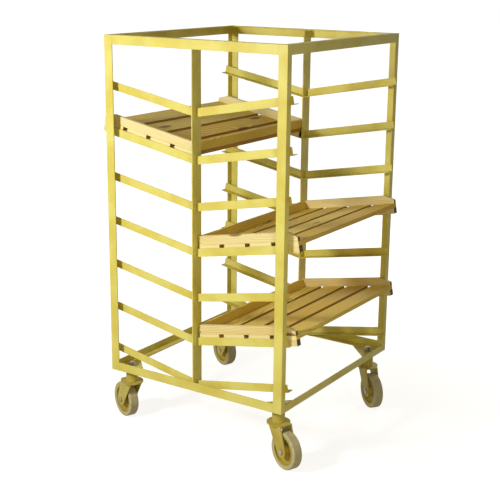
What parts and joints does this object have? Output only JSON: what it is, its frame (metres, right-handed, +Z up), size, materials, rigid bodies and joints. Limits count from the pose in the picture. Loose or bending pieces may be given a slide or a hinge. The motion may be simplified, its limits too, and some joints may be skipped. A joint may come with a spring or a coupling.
{
  "type": "bakery bread rack",
  "caption": "Open steel bakery rack on swivel casters, with two bays of runners that slope down to the middle and hold slatted wooden bread trays.",
  "frame": {"origin": "on the floor under the middle of the footprint", "axes": "+Z up, +X from the left bay to the right bay, +Y from the front side with the V of runners to the back side"},
  "size_m": [0.9802, 0.865, 1.605],
  "materials": {
    "rack_paint": "semi-gloss",
    "caster_paint": "semi-gloss",
    "bare_steel": "satin",
    "tyre_rubber": "matt",
    "tray_pine": "matt"
  },
  "bodies": {
    "rack": {"post_front_left": "rack_paint", "post_front_right": "rack_paint", "post_back_left": "rack_paint", "post_back_right": "rack_paint", "mid_bar_front": "rack_paint", "mid_bar_back": "rack_paint", "top_rail_front": "rack_paint", "top_rail_back": "rack_paint", "top_rail_left": "rack_paint", "top_rail_right": "rack_paint", "base_rail_front": "rack_paint", "base_rail_back": "rack_paint", "base_rail_left": "rack_paint", "base_rail_right": "rack_paint", "seat_front_left": "rack_paint", "seat_front_right": "rack_paint", "seat_back_left": "rack_paint", "seat_back_right": "rack_paint", "runners_front_left": "rack_paint", "runners_front_right": "rack_paint", "runners_back_left": "rack_paint", "runners_back_right": "rack_paint", "neck_front_left": "caster_paint", "neck_front_right": "caster_paint", "neck_back_left": "caster_paint", "neck_back_right": "caster_paint", "kingpins": "bare_steel", "kingpin_washers": "bare_steel", "kingpin_nuts": "bare_steel"},
    "caster_front_left": {"fork_front_left": "caster_paint", "axle_front_left": "bare_steel"},
    "roller_front_left": {"wheel_front_left": "caster_paint", "tyre_front_left": "tyre_rubber"},
    "caster_front_right": {"fork_front_right": "caster_paint", "axle_front_right": "bare_steel"},
    "roller_front_right": {"wheel_front_right": "caster_paint", "tyre_front_right": "tyre_rubber"},
    "caster_back_left": {"fork_back_left": "caster_paint", "axle_back_left": "bare_steel"},
    "roller_back_left": {"wheel_back_left": "caster_paint", "tyre_back_left": "tyre_rubber"},
    "caster_back_right": {"fork_back_right": "caster_paint", "axle_back_right": "bare_steel"},
    "roller_back_right": {"wheel_back_right": "caster_paint", "tyre_back_right": "tyre_rubber"},
    "tray_1": {"tray_1_front_board": "tray_pine", "tray_1_back_board": "tray_pine", "tray_1_long_board": "tray_pine", "tray_1_slats": "tray_pine", "tray_1_bearers": "tray_pine"},
    "tray_2": {"tray_2_front_board": "tray_pine", "tray_2_back_board": "tray_pine", "tray_2_long_board": "tray_pine", "tray_2_slats": "tray_pine", "tray_2_bearers": "tray_pine"},
    "tray_3": {"tray_3_front_board": "tray_pine", "tray_3_back_board": "tray_pine", "tray_3_long_board": "tray_pine", "tray_3_slats": "tray_pine", "tray_3_bearers": "tray_pine"}
  },
  "joints": [
    {"name": "swivel_front_left", "type": "hinge", "parent": "rack", "child": "caster_front_left", "pos_m": [-0.363, -0.3665, 0.175], "axis": [0, 0, 1], "continuous": true},
    {"name": "roll_front_left", "type": "hinge", "parent": "caster_front_left", "child": "roller_front_left", "pos_m": [-0.41492, -0.34552, 0.075], "axis": [-0.3746, -0.9272, 0], "continuous": true},
    {"name": "swivel_front_right", "type": "hinge", "parent": "rack", "child": "caster_front_right", "pos_m": [0.363, -0.3665, 0.175], "axis": [0, 0, 1], "continuous": true},
    {"name": "roll_front_right", "type": "hinge", "parent": "caster_front_right", "child": "roller_front_right", "pos_m": [0.41492, -0.38748, 0.075], "axis": [0.3746, 0.9272, 0], "continuous": true},
    {"name": "swivel_back_left", "type": "hinge", "parent": "rack", "child": "caster_back_left", "pos_m": [-0.363, 0.3665, 0.175], "axis": [0, 0, 1], "continuous": true},
    {"name": "roll_back_left", "type": "hinge", "parent": "caster_back_left", "child": "roller_back_left", "pos_m": [-0.41492, 0.38748, 0.075], "axis": [-0.3746, -0.9272, 0], "continuous": true},
    {"name": "swivel_back_right", "type": "hinge", "parent": "rack", "child": "caster_back_right", "pos_m": [0.363, 0.3665, 0.175], "axis": [0, 0, 1], "continuous": true},
    {"name": "roll_back_right", "type": "hinge", "parent": "caster_back_right", "child": "roller_back_right", "pos_m": [0.40772, 0.3328, 0.075], "axis": [0.6018, 0.7986, 0], "continuous": true},
    {"name": "tray_1_slide", "type": "slide", "parent": "rack", "child": "tray_1", "axis": [-0.9833, 0, 0.1822], "range_m": [0, 0.44]},
    {"name": "tray_2_slide", "type": "slide", "parent": "rack", "child": "tray_2", "axis": [0.9833, 0, 0.1822], "range_m": [0, 0.44]},
    {"name": "tray_3_slide", "type": "slide", "parent": "rack", "child": "tray_3", "axis": [0.9833, 0, 0.1822], "range_m": [0, 0.44]}
  ]
}
